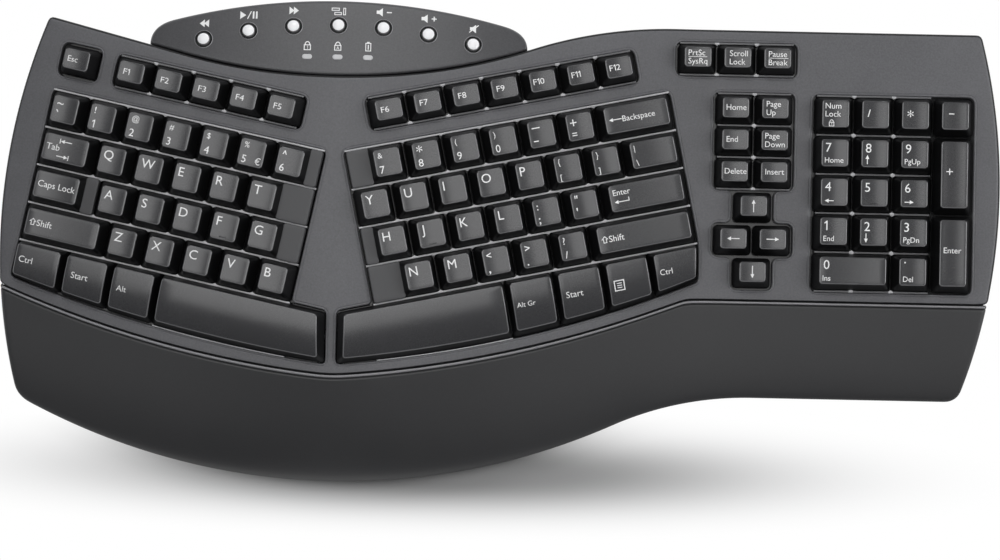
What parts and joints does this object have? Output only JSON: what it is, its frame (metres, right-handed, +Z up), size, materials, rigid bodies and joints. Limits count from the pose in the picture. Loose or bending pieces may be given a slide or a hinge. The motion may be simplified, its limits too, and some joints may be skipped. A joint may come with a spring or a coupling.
{
  "type": "ergonomic keyboard",
  "caption": "Split ergonomic keyboard with a tented deck, two turned key blocks, a numeric pad, a curved palm rest and a media button panel.",
  "frame": {"origin": "middle of the footprint box, on the desk below the rubber feet", "axes": "+X to the right along the width, +Y to the back, +Z up"},
  "size_m": [0.484, 0.232, 0.0434],
  "materials": {
    "deck": "fine texture",
    "palm": "soft matte",
    "base": "matte",
    "keycap": "satin",
    "plate": "satin",
    "button": "gloss",
    "bezel": "gloss",
    "lens": "frosted",
    "silicone": "matte",
    "film": "gloss",
    "steel": "plain",
    "board": "solder mask",
    "cell": "printed sleeve",
    "rubber": "matte"
  },
  "bodies": {
    "case": {"top_case": "deck", "bottom_case": "base", "palm_rest": "palm", "media_panel": "deck", "key_plates": "plate", "dome_sheets": "silicone", "circuit_sheets": "film", "support_plates": "steel", "media_board": "board", "button_bezels": "bezel", "indicator_lenses": "lens", "batteries": "cell", "battery_contacts": "steel", "rubber_feet": "rubber", "case_screws": "steel"},
    "key_esc": {"key_esc": "keycap"},
    "keys_f1_to_f5": {"keys_f1_to_f5": "keycap"},
    "keys_left_number_row": {"keys_left_number_row": "keycap"},
    "key_tab": {"key_tab": "keycap"},
    "keys_q_to_t": {"keys_q_to_t": "keycap"},
    "key_caps_lock": {"key_caps_lock": "keycap"},
    "keys_a_to_g": {"keys_a_to_g": "keycap"},
    "key_left_shift": {"key_left_shift": "keycap"},
    "keys_z_to_b": {"keys_z_to_b": "keycap"},
    "key_left_ctrl": {"key_left_ctrl": "keycap"},
    "key_left_start": {"key_left_start": "keycap"},
    "key_left_alt": {"key_left_alt": "keycap"},
    "key_left_space": {"key_left_space": "keycap"},
    "keys_f6_to_f12": {"keys_f6_to_f12": "keycap"},
    "keys_right_number_row": {"keys_right_number_row": "keycap"},
    "key_backspace": {"key_backspace": "keycap"},
    "keys_y_to_bracket": {"keys_y_to_bracket": "keycap"},
    "key_backslash": {"key_backslash": "keycap"},
    "keys_h_to_quote": {"keys_h_to_quote": "keycap"},
    "key_enter": {"key_enter": "keycap"},
    "keys_n_to_slash": {"keys_n_to_slash": "keycap"},
    "key_right_shift": {"key_right_shift": "keycap"},
    "key_right_space": {"key_right_space": "keycap"},
    "key_alt_gr": {"key_alt_gr": "keycap"},
    "key_right_start": {"key_right_start": "keycap"},
    "key_menu": {"key_menu": "keycap"},
    "key_right_ctrl": {"key_right_ctrl": "keycap"},
    "keys_system": {"keys_system": "keycap"},
    "keys_navigation": {"keys_navigation": "keycap"},
    "keys_arrows": {"keys_arrows": "keycap"},
    "keys_numpad_top": {"keys_numpad_top": "keycap"},
    "keys_numpad_digits": {"keys_numpad_digits": "keycap"},
    "key_numpad_plus": {"key_numpad_plus": "keycap"},
    "key_numpad_enter": {"key_numpad_enter": "keycap"},
    "key_numpad_zero": {"key_numpad_zero": "keycap"},
    "button_rewind": {"button_rewind": "button"},
    "button_play_pause": {"button_play_pause": "button"},
    "button_forward": {"button_forward": "button"},
    "button_device": {"button_device": "button"},
    "button_volume_down": {"button_volume_down": "button"},
    "button_volume_up": {"button_volume_up": "button"},
    "button_mute": {"button_mute": "button"},
    "battery_door": {"battery_door": "base"},
    "flip_foot_left": {"flip_foot_left": "base"},
    "flip_foot_right": {"flip_foot_right": "base"}
  },
  "joints": [
    {"name": "key_esc_press", "type": "slide", "parent": "case", "child": "key_esc", "axis": [0.1219, 0, -0.9925], "range_m": [0, 0.0035], "stiffness_N_per_m": 150, "springref_m": -0.002},
    {"name": "keys_f1_to_f5_press", "type": "slide", "parent": "case", "child": "keys_f1_to_f5", "axis": [0.1219, 0, -0.9925], "range_m": [0, 0.0035], "stiffness_N_per_m": 750, "springref_m": -0.002},
    {"name": "keys_left_number_row_press", "type": "slide", "parent": "case", "child": "keys_left_number_row", "axis": [0.1219, 0, -0.9925], "range_m": [0, 0.0035], "stiffness_N_per_m": 1050, "springref_m": -0.002},
    {"name": "key_tab_press", "type": "slide", "parent": "case", "child": "key_tab", "axis": [0.1219, 0, -0.9925], "range_m": [0, 0.0035], "stiffness_N_per_m": 150, "springref_m": -0.002},
    {"name": "keys_q_to_t_press", "type": "slide", "parent": "case", "child": "keys_q_to_t", "axis": [0.1219, 0, -0.9925], "range_m": [0, 0.0035], "stiffness_N_per_m": 750, "springref_m": -0.002},
    {"name": "key_caps_lock_press", "type": "slide", "parent": "case", "child": "key_caps_lock", "axis": [0.1219, 0, -0.9925], "range_m": [0, 0.0035], "stiffness_N_per_m": 150, "springref_m": -0.002},
    {"name": "keys_a_to_g_press", "type": "slide", "parent": "case", "child": "keys_a_to_g", "axis": [0.1219, 0, -0.9925], "range_m": [0, 0.0035], "stiffness_N_per_m": 750, "springref_m": -0.002},
    {"name": "key_left_shift_press", "type": "slide", "parent": "case", "child": "key_left_shift", "axis": [0.1219, 0, -0.9925], "range_m": [0, 0.0035], "stiffness_N_per_m": 150, "springref_m": -0.002},
    {"name": "keys_z_to_b_press", "type": "slide", "parent": "case", "child": "keys_z_to_b", "axis": [0.1219, 0, -0.9925], "range_m": [0, 0.0035], "stiffness_N_per_m": 750, "springref_m": -0.002},
    {"name": "key_left_ctrl_press", "type": "slide", "parent": "case", "child": "key_left_ctrl", "axis": [0.1219, 0, -0.9925], "range_m": [0, 0.0035], "stiffness_N_per_m": 150, "springref_m": -0.002},
    {"name": "key_left_start_press", "type": "slide", "parent": "case", "child": "key_left_start", "axis": [0.1219, 0, -0.9925], "range_m": [0, 0.0035], "stiffness_N_per_m": 150, "springref_m": -0.002},
    {"name": "key_left_alt_press", "type": "slide", "parent": "case", "child": "key_left_alt", "axis": [0.1219, 0, -0.9925], "range_m": [0, 0.0035], "stiffness_N_per_m": 150, "springref_m": -0.002},
    {"name": "key_left_space_press", "type": "slide", "parent": "case", "child": "key_left_space", "axis": [0.1219, 0, -0.9925], "range_m": [0, 0.0035], "stiffness_N_per_m": 150, "springref_m": -0.002},
    {"name": "keys_f6_to_f12_press", "type": "slide", "parent": "case", "child": "keys_f6_to_f12", "axis": [-0.1219, 0, -0.9925], "range_m": [0, 0.0035], "stiffness_N_per_m": 1050, "springref_m": -0.002},
    {"name": "keys_right_number_row_press", "type": "slide", "parent": "case", "child": "keys_right_number_row", "axis": [-0.1219, 0, -0.9925], "range_m": [0, 0.0035], "stiffness_N_per_m": 900, "springref_m": -0.002},
    {"name": "key_backspace_press", "type": "slide", "parent": "case", "child": "key_backspace", "axis": [-0.1219, 0, -0.9925], "range_m": [0, 0.0035], "stiffness_N_per_m": 150, "springref_m": -0.002},
    {"name": "keys_y_to_bracket_press", "type": "slide", "parent": "case", "child": "keys_y_to_bracket", "axis": [-0.1219, 0, -0.9925], "range_m": [0, 0.0035], "stiffness_N_per_m": 1050, "springref_m": -0.002},
    {"name": "key_backslash_press", "type": "slide", "parent": "case", "child": "key_backslash", "axis": [-0.1219, 0, -0.9925], "range_m": [0, 0.0035], "stiffness_N_per_m": 150, "springref_m": -0.002},
    {"name": "keys_h_to_quote_press", "type": "slide", "parent": "case", "child": "keys_h_to_quote", "axis": [-0.1219, 0, -0.9925], "range_m": [0, 0.0035], "stiffness_N_per_m": 900, "springref_m": -0.002},
    {"name": "key_enter_press", "type": "slide", "parent": "case", "child": "key_enter", "axis": [-0.1219, 0, -0.9925], "range_m": [0, 0.0035], "stiffness_N_per_m": 150, "springref_m": -0.002},
    {"name": "keys_n_to_slash_press", "type": "slide", "parent": "case", "child": "keys_n_to_slash", "axis": [-0.1219, 0, -0.9925], "range_m": [0, 0.0035], "stiffness_N_per_m": 750, "springref_m": -0.002},
    {"name": "key_right_shift_press", "type": "slide", "parent": "case", "child": "key_right_shift", "axis": [-0.1219, 0, -0.9925], "range_m": [0, 0.0035], "stiffness_N_per_m": 150, "springref_m": -0.002},
    {"name": "key_right_space_press", "type": "slide", "parent": "case", "child": "key_right_space", "axis": [-0.1219, 0, -0.9925], "range_m": [0, 0.0035], "stiffness_N_per_m": 150, "springref_m": -0.002},
    {"name": "key_alt_gr_press", "type": "slide", "parent": "case", "child": "key_alt_gr", "axis": [-0.1219, 0, -0.9925], "range_m": [0, 0.0035], "stiffness_N_per_m": 150, "springref_m": -0.002},
    {"name": "key_right_start_press", "type": "slide", "parent": "case", "child": "key_right_start", "axis": [-0.1219, 0, -0.9925], "range_m": [0, 0.0035], "stiffness_N_per_m": 150, "springref_m": -0.002},
    {"name": "key_menu_press", "type": "slide", "parent": "case", "child": "key_menu", "axis": [-0.1219, 0, -0.9925], "range_m": [0, 0.0035], "stiffness_N_per_m": 150, "springref_m": -0.002},
    {"name": "key_right_ctrl_press", "type": "slide", "parent": "case", "child": "key_right_ctrl", "axis": [-0.1219, 0, -0.9925], "range_m": [0, 0.0035], "stiffness_N_per_m": 150, "springref_m": -0.002},
    {"name": "keys_system_press", "type": "slide", "parent": "case", "child": "keys_system", "axis": [0, 0, -1], "range_m": [0, 0.0035], "stiffness_N_per_m": 450, "springref_m": -0.002},
    {"name": "keys_navigation_press", "type": "slide", "parent": "case", "child": "keys_navigation", "axis": [0, 0, -1], "range_m": [0, 0.0035], "stiffness_N_per_m": 900, "springref_m": -0.002},
    {"name": "keys_arrows_press", "type": "slide", "parent": "case", "child": "keys_arrows", "axis": [0, 0, -1], "range_m": [0, 0.0035], "stiffness_N_per_m": 600, "springref_m": -0.002},
    {"name": "keys_numpad_top_press", "type": "slide", "parent": "case", "child": "keys_numpad_top", "axis": [0, 0, -1], "range_m": [0, 0.0035], "stiffness_N_per_m": 600, "springref_m": -0.002},
    {"name": "keys_numpad_digits_press", "type": "slide", "parent": "case", "child": "keys_numpad_digits", "axis": [0, 0, -1], "range_m": [0, 0.0035], "stiffness_N_per_m": 1500, "springref_m": -0.002},
    {"name": "key_numpad_plus_press", "type": "slide", "parent": "case", "child": "key_numpad_plus", "axis": [0, 0, -1], "range_m": [0, 0.0035], "stiffness_N_per_m": 150, "springref_m": -0.002},
    {"name": "key_numpad_enter_press", "type": "slide", "parent": "case", "child": "key_numpad_enter", "axis": [0, 0, -1], "range_m": [0, 0.0035], "stiffness_N_per_m": 150, "springref_m": -0.002},
    {"name": "key_numpad_zero_press", "type": "slide", "parent": "case", "child": "key_numpad_zero", "axis": [0, 0, -1], "range_m": [0, 0.0035], "stiffness_N_per_m": 150, "springref_m": -0.002},
    {"name": "button_rewind_press", "type": "slide", "parent": "case", "child": "button_rewind", "axis": [0.108, -0.2067, -0.9724], "range_m": [0, 0.001], "stiffness_N_per_m": 400, "springref_m": -0.002},
    {"name": "button_play_pause_press", "type": "slide", "parent": "case", "child": "button_play_pause", "axis": [0.072, -0.2074, -0.9756], "range_m": [0, 0.001], "stiffness_N_per_m": 400, "springref_m": -0.002},
    {"name": "button_forward_press", "type": "slide", "parent": "case", "child": "button_forward", "axis": [0.036, -0.2078, -0.9775], "range_m": [0, 0.001], "stiffness_N_per_m": 400, "springref_m": -0.002},
    {"name": "button_device_press", "type": "slide", "parent": "case", "child": "button_device", "axis": [0, -0.2079, -0.9781], "range_m": [0, 0.001], "stiffness_N_per_m": 400, "springref_m": -0.002},
    {"name": "button_volume_down_press", "type": "slide", "parent": "case", "child": "button_volume_down", "axis": [-0.036, -0.2078, -0.9775], "range_m": [0, 0.001], "stiffness_N_per_m": 400, "springref_m": -0.002},
    {"name": "button_volume_up_press", "type": "slide", "parent": "case", "child": "button_volume_up", "axis": [-0.072, -0.2074, -0.9756], "range_m": [0, 0.001], "stiffness_N_per_m": 400, "springref_m": -0.002},
    {"name": "button_mute_press", "type": "slide", "parent": "case", "child": "button_mute", "axis": [-0.108, -0.2067, -0.9724], "range_m": [0, 0.001], "stiffness_N_per_m": 400, "springref_m": -0.002},
    {"name": "battery_door_hinge", "type": "hinge", "parent": "case", "child": "battery_door", "pos_m": [-0.0795, 0.0216, 0.003], "axis": [1, 0, 0], "range_deg": [0, 95]},
    {"name": "flip_foot_left_hinge", "type": "hinge", "parent": "case", "child": "flip_foot_left", "pos_m": [-0.188, 0.0725, 0.0035], "axis": [-1, 0, 0], "range_deg": [0, 85]},
    {"name": "flip_foot_right_hinge", "type": "hinge", "parent": "case", "child": "flip_foot_right", "pos_m": [0.202, 0.0815, 0.0035], "axis": [-1, 0, 0], "range_deg": [0, 85]}
  ]
}
